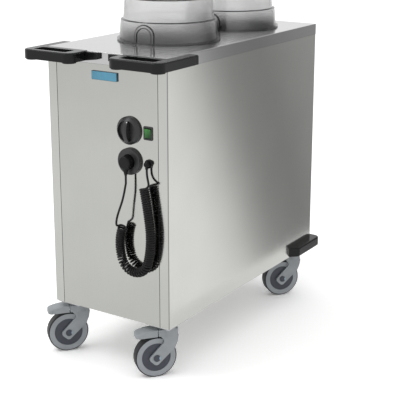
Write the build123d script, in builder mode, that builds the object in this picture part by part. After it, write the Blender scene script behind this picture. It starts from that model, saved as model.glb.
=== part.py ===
"""Heated two-stack plate dispenser cart: steel cabinet on four castors, two lift-off domes.

Millimetres, +Z up. The origin lies on the floor, under the middle of the cart's bounding box.
The control end with the two push handles faces -Y.
"""
from build123d import *
from math import cos, pi, radians, sin, sqrt, tan
import os

# ---------------------------------------------------------------- driving dimensions
body_width = 420.0
top_height = 950.0
body_bottom = 168.0
sheet = 1.5
pan_sheet = 2.0
bend_radius = 3.0
rim_height = 35.0
rim_overhang = 0.7
panel_gap = 0.5
corner_flange = 32.0
post_width = 40.0
post_depth = 25.0
post_wall = 2.0

# stacks
front_room = 139.0
rear_room = 33.0
stack_pitch = 356.0
well_radius = 145.0
collar_drop = 15.0
smallest_plate = 90.0
largest_plate = 140.0
rod_radius = 5.0
rod_foot_radius = 12.0
rod_foot_height = 4.0
rod_setting = 130.0
rod_top_drop = 22.0
slide_gap = 0.3
guide_plate_rim = 11.7
guide_plate_thickness = 3.0
chamber_side_room = 22.0
chamber_clearance = 10.0
chamber_sheet = 1.5

# spring lift
platform_drop = 35.0
platform_radius = 85.0
platform_thickness = 4.0
platform_lip = 10.0
platform_hub_radius = 30.0
arm_width = 50.0
arm_height = 14.0
arm_drop = 30.0
rail_radius = 7.0
rail_spread = 45.0
rail_room = 18.0
rail_fit = 0.3
carriage_half_width = 60.0
carriage_height = 185.0
carriage_block = 25.0
carriage_web = 4.0
carriage_gap = 1.0
carriage_depth = 24.0
crossbar_height = 12.0
crossbar_depth = 20.0
crossbar_drop = 45.0
lift_foot_height = 6.0
spring_radius = 7.0
spring_spread = 18.0
spring_clearance = 3.0

# domes
dome_flange_radius = 155.5
dome_flange_height = 6.0
dome_skirt_radius = 149.0
dome_step_radius = 144.0
dome_step_height = 62.0
dome_upper_radius = 136.0
dome_shoulder_height = 128.0
dome_shoulder_radius = 131.5
dome_height = 176.0
dome_crown_radius = 34.0
dome_wall = 3.0
dome_flange_edge = 1.5
dome_grip_radius = 30.0
dome_grip_neck = 22.0
dome_grip_height = 24.0
dome_grip_neck_height = 8.0
dome_grip_flare_height = 12.0
dome_grip_side_height = 19.2
dome_grip_bevel = 5.0
tab_width = 64.0
tab_height = 56.0
tab_relief = 0.8
tab_ridge = 2.6
tab_ridge_width = 7.0
tab_azimuth = 5.0

# push handles
handle_height = 27.0
handle_front = 78.0
handle_side = 31.0
handle_inner = 61.0
handle_back = 109.0
handle_corner = 26.0
handle_edge = 5.0
handle_bar = 16.0
handle_back_wall = 19.0
handle_gap_inner = 92.0
handle_gap_outer = 209.0
handle_gap_corner = 6.0
handle_blunt = 1.0
handle_tip = 6.0
handle_foot_radius = 20.0
handle_foot_drop = 3.5
handle_foot_inset = 24.0
wing_length = 41.0
wing_thickness = 12.0
wing_rise = 6.0
wing_root = 10.0
wing_top_drop = 2.0

# rear bumpers
bumper_height = 32.0
bumper_side = 26.0
bumper_rear = 30.0
bumper_side_length = 155.0
bumper_rear_length = 110.0
bumper_corner = 22.0
bumper_blunt = 9.0
bumper_edge = 5.0

# name plate, left blank
plate_x = -2.4
plate_drop = 67.0
plate_width = 89.6
plate_height = 25.0
plate_thickness = 5.0
plate_round = 2.0
plate_edge = 1.0

# controls
knob_x = 80.5
knob_z = 738.0
knob_radius = 40.0
knob_depth = 26.0
knob_rim = 6.0
knob_bar = 13.0
knob_scoop_radius = 30.0
knob_scoop_floor = 8.0
knob_edge = 0.8
knob_gap = 0.5
spindle_radius = 3.0
spindle_length = 14.0
spindle_fit = 0.1
spindle_clearance = 2.0
thermostat_size = (52.0, 38.0, 44.0)
switch_x = 144.5
switch_z = 737.0
bezel_width = 31.0
bezel_height = 39.0
bezel_depth = 2.5
bezel_corner = 4.0
bezel_edge = 0.8
window_width = 22.4
window_height = 30.4
window_corner = 1.5
housing_depth = 28.0
housing_inset = 1.5
rocker_gap = 0.6
rocker_swing = 1.6
rocker_thickness = 9.0
rocker_stand_out = 1.5
rocker_taper = 2.0
rocker_tilt = 6.0
rocker_pivot_depth = 3.0
rocker_pin_radius = 1.5
rocker_edge = 0.8

# plug park socket, plug and gland
socket_x = 81.5
socket_z = 649.5
socket_radius = 38.5
socket_depth = 10.0
socket_bore = 21.5
socket_wall = 3.0
socket_cup = 24.0
socket_edge = 3.0
plug_radius = 19.5
plug_reach = 33.0
plug_insert = 12.0
plug_edge = 5.0
plug_stem_radius = 9.0
plug_stem_drop = 36.0
plug_stem_reach = 23.0
plug_relief = 16.0
plug_relief_step = 1.5
plug_relief_wall = 1.2
pin_spread = 9.5
pin_radius = 2.4
pin_clearance = 2.0
gland_x = 145.5
gland_z = 650.5
gland_radius = 12.5
gland_depth = 5.0
gland_boss_radius = 8.5
gland_reach = 11.0
gland_drop = 13.0
gland_thread = 9.0
gland_thread_length = 15.0
gland_edge = 1.5
gland_sleeve = 1.5

# cord
cord_diameter = 5.8
coil_diameter = 27.5
coil_gap = 0.58
coil_stand_off = 22.0
coil_top = (143.0, 583.5)
coil_heading = 12.0
coil_bends = ((1380.0, -4.5), (278.0, -23.5), (47.0, -146.0), (140.0, -40.0))
coil_lead = 11.5
gland_tail = (
    (145.5, 11.0, 626.0),
    (147.5, 11.5, 614.0),
    (152.5, 14.5, 603.0),
    (159.5, 21.0, 593.5),
)
plug_tail = (
    (58.5, 40.5, 480.0),
    (61.5, 38.0, 497.0),
    (67.0, 34.0, 517.0),
    (73.5, 30.0, 539.0),
    (78.5, 27.0, 564.0),
    (81.5, 23.0, 590.0),
)

# heater
heater_width = 170.0
heater_depth = 70.0
heater_height = 130.0
heater_z = 240.0
heater_edge = 4.0
fan_radius = 45.0
fan_depth = 22.0

# castors: a fork's places are given from its swivel axis, along the trail, and from the floor
wheel_radius = 62.5
wheel_width = 31.0
tyre_thickness = 6.0
tyre_shoulder = 3.5
rim_face = 3.7
rim_edge = 3.0
web_recess = 2.5
guard_radius = 43.0
guard_thickness = 1.5
guard_gap = 0.5
axle_radius = 6.0
axle_fit = 0.1
cap_radius = 10.5
cap_height = 2.0
swivel_side_inset = 44.3
swivel_end_inset = 56.0
swivel_trail = 39.7
swivel_angle = 39.3
fork_gap = 1.6
fork_arm = 6.0
fork_arm_low = ((65.1, 60.5), (40.6, 37.1))
fork_arm_high = ((-15.3, 88.7), (-23.7, 108.7))
fork_arm_notch = ((17.2, 117.0), (17.2, 110.0))
fork_arm_corner = 10.0
fork_crown_radius = 27.0
fork_crown_bottom = 129.0
fork_crown_top = 160.0
fork_bridge_top = 149.0
fork_bridge_corner = 8.0
plate_length = 104.0
plate_breadth = 84.0
plate_corner = 6.0
plate_sheet = 4.0
race_radius = 24.0
race_gap = 0.3
kingpin_radius = 6.0
kingpin_end = 131.0
kingpin_fit = 0.1
bolt_spacing_long = 80.0
bolt_spacing_short = 60.0
bolt_radius = 4.0
bolt_head_radius = 6.5
bolt_head_height = 5.0

# brake pedals on the two front castors
pedal_reach = 99.7
pedal_half_width = 22.0
pedal_bottom = 128.5
pedal_top = 150.0
pedal_tip_top = 140.0
pedal_corner = 12.0
pedal_edge = 4.0
pedal_neck = 8.0
pedal_pivot = 26.7
pedal_pivot_z = 141.0
pedal_barrel_radius = 7.0
pedal_barrel_half = 15.0
pedal_pin_radius = 3.0
pedal_fit = 0.15
pedal_clearance = 1.0
cheek_reach = 8.0
cheek_slope = 1.8
pedal_crown = 3.0

# ---------------------------------------------------------------- places worked out from them
standing = (Align.CENTER, Align.CENTER, Align.MIN)
hanging = (Align.CENTER, Align.CENTER, Align.MAX)
guide_plate_radius = largest_plate + 2 * rod_radius + slide_gap + guide_plate_rim
chamber_margin = guide_plate_radius + chamber_clearance
body_length = front_room + stack_pitch + 2 * chamber_margin + rear_room
body_y = (handle_front - bumper_rear) / 2
front = body_y - body_length / 2
rear = body_y + body_length / 2
side = body_width / 2
rim_side = side + rim_overhang
rim_front = front - rim_overhang
rim_rear = rear + rim_overhang
plate_under = top_height - sheet
panel_top = top_height - rim_height - panel_gap
pan_top = body_bottom + pan_sheet
panel_edge = side - corner_flange - panel_gap
stacks = {
    "front": (front + front_room + chamber_margin, 1),
    "rear": (rear - rear_room - chamber_margin, -1),
}
chamber_half_width = side - chamber_side_room
rail_distance = stack_pitch / 2 - rail_room
carriage_front = rail_distance - carriage_gap - carriage_depth / 2
guide_plate_flat = rail_distance - crossbar_depth
plate_z = top_height - plate_drop
chamber_floor = pan_top + chamber_sheet
guide_top = chamber_floor + guide_plate_thickness
coil_y = front - coil_stand_off
coil_radius = (coil_diameter - cord_diameter) / 2
cord_radius = cord_diameter / 2
swivel_x = side - swivel_side_inset
swivel_y = body_length / 2 - swivel_end_inset
swivels = {
    f"{end}_{hand}": (hand_sign * swivel_x, body_y + end_sign * swivel_y)
    for end, end_sign in (("front", -1), ("rear", 1))
    for hand, hand_sign in (("left", -1), ("right", 1))
}
mount_under = body_bottom - plate_sheet
fork_inner = wheel_width / 2 + fork_gap
fork_outer = fork_inner + fork_arm
cheek_inner = pedal_barrel_half + pedal_clearance / 2
cheek_end = pedal_pivot + cheek_reach
pedal_heel = cheek_end + pedal_clearance

os.makedirs("parts", exist_ok=True)


def save(part, name):
    """Label a finished piece and write it under its own name."""
    part.label = name
    export_step(part, f"parts/{name}.step")


def box_between(low, high, mode=Mode.ADD):
    """A box from its lowest corner to its highest, in the part being built."""
    middle = tuple((a + b) / 2 for a, b in zip(low, high))
    with Locations(middle):
        Box(high[0] - low[0], high[1] - low[1], high[2] - low[2], mode=mode)


# ---------------------------------------------------------------- cabinet
with BuildPart() as top_plate:
    with BuildSketch(Plane.XY.offset(top_height - rim_height)):
        with Locations((0, body_y)):
            RectangleRounded(2 * rim_side, rim_rear - rim_front, bend_radius)
    extrude(amount=rim_height)
    fillet(top_plate.faces().sort_by(Axis.Z)[-1].edges(), bend_radius - sheet / 2)
    with BuildSketch(Plane.XY.offset(top_height - rim_height)):
        with Locations((0, body_y)):
            RectangleRounded(2 * (rim_side - sheet), rim_rear - rim_front - 2 * sheet, bend_radius - sheet)
    extrude(amount=rim_height - sheet, mode=Mode.SUBTRACT)
    for stack_y, _ in stacks.values():
        with Locations((0, stack_y, top_height - collar_drop)):
            Cylinder(well_radius + sheet, collar_drop, align=standing)
            Cylinder(well_radius, collar_drop, align=standing,
                     mode=Mode.SUBTRACT)
save(top_plate.part, "top_plate")

for label, hand in (("left", -1), ("right", 1)):
    with BuildPart() as side_panel:
        with BuildSketch(Plane.XY.offset(body_bottom)):
            with Locations((hand * (side - corner_flange / 2), body_y)):
                Rectangle(corner_flange, body_length)
            with Locations((hand * (side - sheet - corner_flange / 2), body_y)):
                Rectangle(corner_flange, body_length - 2 * sheet, mode=Mode.SUBTRACT)
        extrude(amount=panel_top - body_bottom)
        outer = side_panel.edges().filter_by(Axis.Z).group_by(Axis.X)[-1 if hand > 0 else 0]
        fillet(outer, bend_radius)
        inner = side_panel.edges().filter_by(Axis.Z).filter_by(
            lambda e: abs(abs(e.center().X) - (side - sheet)) < 0.01
            and abs(abs(e.center().Y - body_y) - (body_length / 2 - sheet)) < 0.01)
        fillet(inner, bend_radius - sheet)
    save(side_panel.part, f"side_panel_{label}")

with BuildPart() as front_panel:
    with BuildSketch(Plane.XZ.offset(-front)):
        with Locations((0, (body_bottom + panel_top) / 2)):
            Rectangle(2 * panel_edge, panel_top - body_bottom)
        with Locations((knob_x, knob_z)):
            Circle(spindle_radius + spindle_clearance, mode=Mode.SUBTRACT)
        with Locations((switch_x, switch_z)):
            Rectangle(bezel_width - 2 * housing_inset, bezel_height - 2 * housing_inset, mode=Mode.SUBTRACT)
        with Locations((socket_x, socket_z)):
            Circle(socket_bore + socket_wall, mode=Mode.SUBTRACT)
        with Locations((gland_x, gland_z)):
            Circle(gland_thread, mode=Mode.SUBTRACT)
    extrude(amount=-sheet)
save(front_panel.part, "front_panel")

with BuildPart() as rear_panel:
    box_between((-panel_edge, rear - sheet, body_bottom), (panel_edge, rear, panel_top))
save(rear_panel.part, "rear_panel")

with BuildPart() as inner_frame:
    for hand in (-1, 1):
        for end in (-1, 1):
            post_x = hand * (side - sheet - post_width / 2)
            post_y = body_y + end * (body_length / 2 - sheet - post_depth / 2)
            with Locations((post_x, post_y, pan_top)):
                Box(post_width, post_depth, plate_under - pan_top,
                    align=standing)
    for hand in (-1, 1):
        rail_x = hand * (side - sheet - post_wall / 2)
        for rail_z in (pan_top + post_depth / 2, plate_under - post_depth / 2):
            with Locations((rail_x, body_y, rail_z)):
                Box(post_wall, body_length - 2 * sheet, post_depth)
    for end in (-1, 1):
        rail_y = body_y + end * (body_length / 2 - sheet - post_wall / 2)
        for rail_z in (pan_top + post_depth / 2, plate_under - post_depth / 2):
            with Locations((0, rail_y, rail_z)):
                Box(body_width - 2 * sheet, post_wall, post_depth)
    corner_edges = inner_frame.edges().filter_by(Axis.Z).filter_by(
        lambda e: abs(abs(e.center().X) - (side - sheet)) < 0.01
        and abs(abs(e.center().Y - body_y) - (body_length / 2 - sheet)) < 0.01)
    fillet(corner_edges, bend_radius - sheet)
save(inner_frame.part, "inner_frame")

with BuildPart() as base_pan:
    box_between((-side + sheet, front + sheet, body_bottom), (side - sheet, rear - sheet, pan_top))
    fillet(base_pan.edges().filter_by(Axis.Z), bend_radius - sheet)
    for hand in (-1, 1):
        for end in (-1, 1):
            with Locations((hand * swivel_x, body_y + end * swivel_y, body_bottom)):
                with GridLocations(bolt_spacing_short, bolt_spacing_long, 2, 2):
                    Cylinder(bolt_radius, 3 * pan_sheet, mode=Mode.SUBTRACT)
save(base_pan.part, "base_pan")

with BuildPart() as inner_chamber:
    chamber_front = stacks["front"][0] - chamber_margin
    chamber_rear = stacks["rear"][0] + chamber_margin
    box_between((-chamber_half_width, chamber_front, pan_top),
                (chamber_half_width, chamber_rear, plate_under))
    box_between((-chamber_half_width + chamber_sheet, chamber_front + chamber_sheet, chamber_floor),
                (chamber_half_width - chamber_sheet, chamber_rear - chamber_sheet, plate_under),
                Mode.SUBTRACT)
save(inner_chamber.part, "inner_chamber")

# ---------------------------------------------------------------- handles, bumpers, name plate
handle_z = top_height - handle_height
for label, hand in (("left", -1), ("right", 1)):
    with BuildPart() as handle:
        outer_x = side + handle_side
        front_y = front - handle_front
        back_y = front + handle_back
        with BuildSketch(Plane.XY.offset(handle_z)):
            with Locations((hand * (handle_inner + outer_x) / 2, (front_y + back_y) / 2)):
                RectangleRounded(outer_x - handle_inner, back_y - front_y, handle_corner)
            with Locations((hand * (rim_side - handle_back), rim_front + handle_back)):
                Rectangle(2 * handle_back, 2 * handle_back, mode=Mode.SUBTRACT)
            with BuildLine():
                Polyline((hand * rim_side, back_y - handle_corner),
                         (hand * (outer_x - handle_blunt), back_y - handle_corner),
                         (hand * (outer_x - handle_blunt), back_y - 2 * handle_blunt),
                         (hand * (rim_side + handle_tip), back_y),
                         (hand * rim_side, back_y), close=True)
            make_face()
        extrude(amount=handle_height)
        gap_front = front_y + handle_bar
        gap_back = rim_front - handle_back_wall
        gap_width = handle_gap_outer - handle_gap_inner
        for foot_x in (handle_inner + handle_foot_inset, outer_x - handle_foot_inset):
            with Locations((hand * foot_x, front_y + handle_foot_inset, handle_z + handle_edge)):
                Cylinder(handle_foot_radius, handle_foot_drop + handle_edge,
                         align=hanging)
        with BuildSketch(Plane.XY.offset(handle_z - handle_foot_drop)):
            with Locations((hand * (handle_gap_inner + handle_gap_outer) / 2, (gap_front + gap_back) / 2)):
                RectangleRounded(gap_width, gap_back - gap_front, handle_gap_corner)
        extrude(amount=handle_height + handle_foot_drop, mode=Mode.SUBTRACT)
        with BuildSketch(Plane.XZ.offset(-rim_front)):
            with BuildLine():
                Polyline((hand * (handle_inner + wing_root), handle_z), (hand * handle_inner, handle_z),
                         (hand * (handle_inner - wing_length), handle_z + wing_rise),
                         (hand * (handle_inner - wing_length), top_height - wing_top_drop),
                         (hand * (handle_inner + wing_root), top_height - wing_top_drop), close=True)
            make_face()
        extrude(amount=wing_thickness)
        top_edges = handle.faces().filter_by(Axis.Z).sort_by(Axis.Z)[-1].outer_wire().edges()
        soft = top_edges.filter_by(
            lambda e: abs(e.center().Y - rim_front) > 0.1 and abs(abs(e.center().X) - rim_side) > 0.1)
        fillet(soft, handle_edge)
    save(handle.part, f"handle_{label}")

    with BuildPart() as bumper:
        out_x = side + bumper_side
        out_y = rear + bumper_rear
        with BuildSketch(Plane.XY.offset(body_bottom)):
            with BuildLine():
                Polyline((hand * side, rear - bumper_side_length),
                         (hand * out_x, rear - bumper_side_length + bumper_side),
                         (hand * out_x, out_y),
                         (hand * (side - bumper_rear_length + bumper_rear), out_y),
                         (hand * (side - bumper_rear_length), rear),
                         (hand * side, rear), close=True)
            make_face()
        extrude(amount=bumper_height)
        far_edge = bumper.edges().filter_by(Axis.Z).sort_by_distance((hand * out_x, out_y, body_bottom))[0]
        fillet(far_edge, bumper_corner)
        blunt = bumper.edges().filter_by(Axis.Z).filter_by(
            lambda e: abs(abs(e.center().X) - out_x) < 0.1 and e.center().Y < rear - 50)
        fillet(blunt, bumper_blunt)
        rims = bumper.faces().filter_by(Axis.Z).edges().filter_by(
            lambda e: abs(e.center().X) > side + 1 or e.center().Y > rear + 1)
        fillet(rims, bumper_edge)
    save(bumper.part, f"bumper_{label}")

with BuildPart() as name_plate:
    with BuildSketch(Plane.XZ.offset(-front)):
        with Locations((plate_x, plate_z)):
            RectangleRounded(plate_width, plate_height, plate_round)
    extrude(amount=plate_thickness)
    chamfer(name_plate.faces().sort_by(Axis.Y)[0].edges(), plate_edge)
save(name_plate.part, "name_plate")


# ---------------------------------------------------------------- domes
def dome_outline(inset):
    """Half profile of a dome from its foot to its axis, moved inward by the inset."""
    base = top_height
    ledge = base + dome_step_height + (dome_step_radius - dome_upper_radius) / 3
    return [
        (dome_skirt_radius - inset, base),
        (dome_step_radius - inset, base + dome_step_height),
        (dome_upper_radius - inset, ledge - inset / 3),
        (dome_shoulder_radius - inset, base + dome_shoulder_height - inset),
    ]


def dome_profile(inset):
    """Closed half profile, drawn in the XZ plane, of the space within the dome's outer face."""
    top = top_height + dome_height - inset
    corner = dome_crown_radius - inset
    foot, step, upper, shoulder = dome_outline(inset)
    crown_start = (shoulder[0], top - corner)
    Polyline((0, top_height), foot, step, upper, shoulder, crown_start)
    RadiusArc(crown_start, (shoulder[0] - corner, top), -corner)
    Polyline((shoulder[0] - corner, top), (0, top), (0, top_height))


tab_plane = Plane.XZ.rotated((0, 0, tab_azimuth))
arch = top_height + tab_height - tab_width / 2


def arch_profile(inset):
    """Outline of the arched tab on its plane, moved inward by the inset."""
    half_width = tab_width / 2 - inset
    Polyline((-half_width, arch), (-half_width, top_height), (half_width, top_height), (half_width, arch))
    ThreePointArc((half_width, arch), (0, arch + half_width), (-half_width, arch))


with BuildPart() as dome_tab:
    with BuildSketch(Plane.XZ):
        with BuildLine():
            dome_profile(-tab_relief)
        make_face()
    revolve(axis=Axis.Z)
    with BuildSketch(tab_plane):
        with BuildLine():
            arch_profile(tab_ridge_width / 2)
        make_face()
    extrude(amount=2 * dome_skirt_radius, mode=Mode.INTERSECT)

with BuildPart() as tab_frame:
    with BuildSketch(Plane.XZ):
        with BuildLine():
            dome_profile(-tab_ridge)
        make_face()
    revolve(axis=Axis.Z)
    with BuildSketch(tab_plane):
        with BuildLine():
            arch_profile(0)
        make_face()
        with BuildLine():
            arch_profile(tab_ridge_width)
        make_face(mode=Mode.SUBTRACT)
    extrude(amount=2 * dome_skirt_radius, mode=Mode.INTERSECT)

for label, (stack_y, _) in stacks.items():
    with BuildPart() as dome:
        with BuildSketch(Plane.XZ):
            with BuildLine():
                dome_profile(0)
            make_face()
        revolve(axis=Axis.Z)
        with Locations((0, 0, top_height)):
            Cylinder(dome_flange_radius, dome_flange_height, align=standing)
        fillet(dome.edges().filter_by(GeomType.CIRCLE).sort_by(SortBy.RADIUS)[-1], dome_flange_edge)
        add(dome_tab.part)
        add(tab_frame.part)
        with BuildSketch(Plane.XZ):
            with BuildLine():
                dome_profile(dome_wall)
            make_face()
        revolve(axis=Axis.Z, mode=Mode.SUBTRACT)
        with BuildSketch(Plane.XZ):
            with BuildLine():
                grip_base = top_height + dome_height
                Polyline((0, grip_base - dome_wall), (dome_grip_neck, grip_base - dome_wall),
                         (dome_grip_neck, grip_base + dome_grip_neck_height),
                         (dome_grip_radius, grip_base + dome_grip_flare_height),
                         (dome_grip_radius, grip_base + dome_grip_side_height),
                         (dome_grip_radius - dome_grip_bevel, grip_base + dome_grip_height),
                         (0, grip_base + dome_grip_height), close=True)
            make_face()
        revolve(axis=Axis.Z)
    placed = dome.part.moved(Location((0, stack_y, 0)))
    save(placed, f"dome_{label}")


# ---------------------------------------------------------------- stacks: guides, lift, platform
for label, (stack_y, lift_side) in stacks.items():
    rod_angles = [90 * -lift_side + turn for turn in (0, 120, 240)]
    with BuildPart() as guide_plate:
        with BuildSketch(Plane.XY.offset(chamber_floor)):
            with Locations((0, stack_y)):
                Circle(guide_plate_radius)
            with Locations((0, stack_y + lift_side * (guide_plate_flat + guide_plate_radius / 2))):
                Rectangle(2 * guide_plate_radius, guide_plate_radius, mode=Mode.SUBTRACT)
            for angle in rod_angles:
                slot_middle = (smallest_plate + largest_plate) / 2 + rod_radius
                slot_x = slot_middle * cos(radians(angle))
                slot_y = stack_y + slot_middle * sin(radians(angle))
                with Locations(Location((slot_x, slot_y, 0), (0, 0, angle))):
                    SlotCenterToCenter(largest_plate - smallest_plate, 2 * (rod_radius + slide_gap),
                                       mode=Mode.SUBTRACT)
        extrude(amount=guide_plate_thickness)
    save(guide_plate.part, f"guide_plate_{label}")

    for number, angle in enumerate(rod_angles, start=1):
        reach = rod_setting + rod_radius
        rod_x = reach * cos(radians(angle))
        rod_y = stack_y + reach * sin(radians(angle))
        with BuildPart() as rod:
            with Locations((rod_x, rod_y, chamber_floor + slide_gap)):
                Cylinder(rod_radius, top_height - rod_top_drop - chamber_floor - slide_gap,
                         align=standing)
            fillet(rod.edges().sort_by(Axis.Z)[-1], rod_radius / 2)
            with Locations((rod_x, rod_y, guide_top + slide_gap)):
                Cylinder(rod_foot_radius, rod_foot_height, align=standing)
        save(rod.part, f"guide_rod_{label}_{number}")

    rail_y = stack_y + lift_side * rail_distance
    bar_top = top_height - crossbar_drop + crossbar_height
    bar_bottom = top_height - crossbar_drop
    with BuildPart() as lift_frame:
        with Locations((0, rail_y, chamber_floor)):
            Box(2 * carriage_half_width, crossbar_depth, lift_foot_height,
                align=standing)
        with Locations((0, rail_y, bar_bottom)):
            Box(2 * carriage_half_width, crossbar_depth, crossbar_height,
                align=standing)
        with Locations((-rail_spread, rail_y, chamber_floor), (rail_spread, rail_y, chamber_floor)):
            Cylinder(rail_radius, bar_top - chamber_floor, align=standing)
    save(lift_frame.part, f"lift_frame_{label}")

    carriage_top = top_height - platform_drop - arm_drop
    carriage_bottom = carriage_top - carriage_height
    block_y = stack_y + lift_side * (carriage_front + carriage_depth / 2)
    web_y = stack_y + lift_side * (carriage_front + carriage_web / 2)
    arm_end = stack_y + lift_side * (carriage_front + carriage_web)
    with BuildPart() as platform:
        with Locations((0, web_y, carriage_bottom)):
            Box(2 * carriage_half_width, carriage_web, carriage_height,
                align=standing)
        with Locations((0, block_y, carriage_bottom), (0, block_y, carriage_top - carriage_block)):
            Box(2 * carriage_half_width, carriage_depth, carriage_block,
                align=standing)
        with Locations((-rail_spread, rail_y, carriage_bottom), (rail_spread, rail_y, carriage_bottom)):
            Cylinder(rail_radius + rail_fit, carriage_height,
                     align=standing, mode=Mode.SUBTRACT)
        with Locations((-spring_spread, rail_y, carriage_bottom + carriage_block),
                       (spring_spread, rail_y, carriage_bottom + carriage_block)):
            Cylinder(spring_radius + spring_clearance / 2, carriage_height,
                     align=standing, mode=Mode.SUBTRACT)
        with Locations((0, (stack_y + arm_end) / 2, carriage_top)):
            Box(arm_width, abs(arm_end - stack_y), arm_height, align=hanging)
        with Locations((0, stack_y, carriage_top - arm_height)):
            Cylinder(platform_hub_radius, arm_height + arm_drop - platform_thickness / 2,
                     align=standing)
        with Locations((0, stack_y, top_height - platform_drop)):
            Cylinder(platform_radius, platform_lip, align=hanging)
        rim = platform.faces().filter_by(Axis.Z).sort_by(Axis.Z)[-1].edges()
        fillet(rim, platform_thickness / 2)
        with Locations((0, stack_y, top_height - platform_drop - platform_thickness)):
            Cylinder(platform_radius - platform_thickness, platform_lip,
                     align=hanging, mode=Mode.SUBTRACT)
        with Locations((0, stack_y, carriage_top - arm_height)):
            Cylinder(platform_hub_radius, arm_height + arm_drop - platform_thickness / 2,
                     align=standing)
    save(platform.part, f"platform_{label}")

    with BuildPart() as springs:
        spring_foot = carriage_bottom + carriage_block
        with Locations((-spring_spread, rail_y, spring_foot), (spring_spread, rail_y, spring_foot)):
            Cylinder(spring_radius, bar_bottom - spring_foot, align=standing)
    save(springs.part, f"springs_{label}")

# ---------------------------------------------------------------- heater and controls
with BuildPart() as heater_unit:
    with Locations((0, chamber_front, heater_z)):
        Box(heater_width, heater_depth, heater_height, align=(Align.CENTER, Align.MAX, Align.MIN))
    fillet(heater_unit.edges().filter_by(Axis.Y), heater_edge)
    with BuildSketch(Plane.XZ.offset(-(chamber_front - heater_depth))):
        with Locations((0, heater_z + heater_height / 2)):
            Circle(fan_radius)
    extrude(amount=fan_depth)
save(heater_unit.part, "heater_unit")

with BuildPart() as thermostat_body:
    with Locations((knob_x, front + sheet, knob_z)):
        Box(*thermostat_size, align=(Align.CENTER, Align.MIN, Align.CENTER))
    with BuildSketch(Plane.XZ.offset(-(front + sheet))):
        with Locations((knob_x, knob_z)):
            Circle(spindle_radius)
    extrude(amount=sheet + spindle_length)
save(thermostat_body.part, "thermostat_body")

with BuildPart() as knob:
    knob_plane = Plane(origin=(knob_x, front - knob_gap, knob_z), x_dir=(1, 0, 0), z_dir=(0, -1, 0))
    crown = (knob_radius ** 2 + (knob_depth - knob_rim) ** 2) / (2 * (knob_depth - knob_rim))
    with BuildSketch(Plane(origin=knob_plane.origin, x_dir=(1, 0, 0), z_dir=(0, 0, 1))):
        with BuildLine():
            Polyline((0, -knob_depth), (0, 0), (knob_radius, 0), (knob_radius, -knob_rim))
            RadiusArc((knob_radius, -knob_rim), (0, -knob_depth), crown)
        make_face()
    revolve(axis=Axis((knob_x, 0, knob_z), (0, 1, 0)))
    with BuildSketch(knob_plane.offset(knob_scoop_floor)):
        Circle(knob_scoop_radius)
        Rectangle(knob_bar, 2 * knob_radius, mode=Mode.SUBTRACT)
    extrude(amount=knob_depth, mode=Mode.SUBTRACT)
    floor_y = front - knob_gap - knob_scoop_floor
    crests = knob.edges().filter_by(
        lambda e: e.center().Y < floor_y - 0.5 and e.geom_type != GeomType.LINE and e.length > knob_bar / 3)
    chamfer(crests, knob_edge)
    with BuildSketch(knob_plane):
        Circle(spindle_radius + spindle_fit)
    extrude(amount=spindle_length + knob_gap, mode=Mode.SUBTRACT)
save(knob.part, "knob")

switch_plane = Plane(origin=(switch_x, front, switch_z), x_dir=(1, 0, 0), z_dir=(0, -1, 0))
with BuildPart() as switch_frame:
    with BuildSketch(switch_plane):
        RectangleRounded(bezel_width, bezel_height, bezel_corner)
    extrude(amount=bezel_depth)
    fillet(switch_frame.faces().sort_by(Axis.Y)[0].edges(), bezel_edge)
    with BuildSketch(switch_plane):
        Rectangle(bezel_width - 2 * housing_inset, bezel_height - 2 * housing_inset)
    extrude(amount=-housing_depth)
    with BuildSketch(switch_plane.offset(bezel_depth)):
        RectangleRounded(window_width, window_height, window_corner)
    extrude(amount=-(bezel_depth + housing_depth / 2), mode=Mode.SUBTRACT)
    with Locations((switch_x, front + rocker_pivot_depth, switch_z)):
        Cylinder(rocker_pin_radius + spindle_fit, window_width + 2 * rocker_pin_radius,
                 rotation=(0, 90, 0), mode=Mode.SUBTRACT)
save(switch_frame.part, "switch_frame")

with BuildPart() as rocker:
    half_x = window_width / 2 - rocker_gap
    half_z = window_height / 2 - rocker_swing
    crest = rocker_pivot_depth + bezel_depth + rocker_stand_out
    pivot = Plane(origin=(switch_x - half_x, front + rocker_pivot_depth, switch_z),
                  x_dir=(0, 1, 0), z_dir=(1, 0, 0)).rotated((rocker_tilt, 0, 0))
    with BuildSketch(pivot):
        with BuildLine():
            keel = rocker_thickness - crest
            Polyline((rocker_stand_out - crest, 0), (-crest, half_z), (keel, half_z - rocker_taper),
                     (keel, rocker_taper - half_z), (-crest, -half_z), close=True)
        make_face()
    extrude(amount=2 * half_x)
    fillet(rocker.edges().filter_by(Axis.X).sort_by(Axis.Y)[:2], rocker_edge)
    with Locations((switch_x, front + rocker_pivot_depth, switch_z)):
        Cylinder(rocker_pin_radius, window_width + 2 * rocker_pin_radius - rocker_gap, rotation=(0, 90, 0))
save(rocker.part, "rocker")

socket_plane = Plane(origin=(socket_x, front, socket_z), x_dir=(1, 0, 0), z_dir=(0, -1, 0))
with BuildPart() as park_socket:
    with BuildSketch(socket_plane):
        Circle(socket_radius)
    extrude(amount=socket_depth)
    fillet(park_socket.faces().sort_by(Axis.Y)[0].edges(), socket_edge)
    with BuildSketch(socket_plane):
        Circle(socket_bore + socket_wall)
    extrude(amount=-socket_cup)
    with BuildSketch(socket_plane.offset(socket_depth)):
        Circle(socket_bore)
    extrude(amount=-(socket_depth + socket_cup - socket_wall), mode=Mode.SUBTRACT)
save(park_socket.part, "park_socket")

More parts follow.
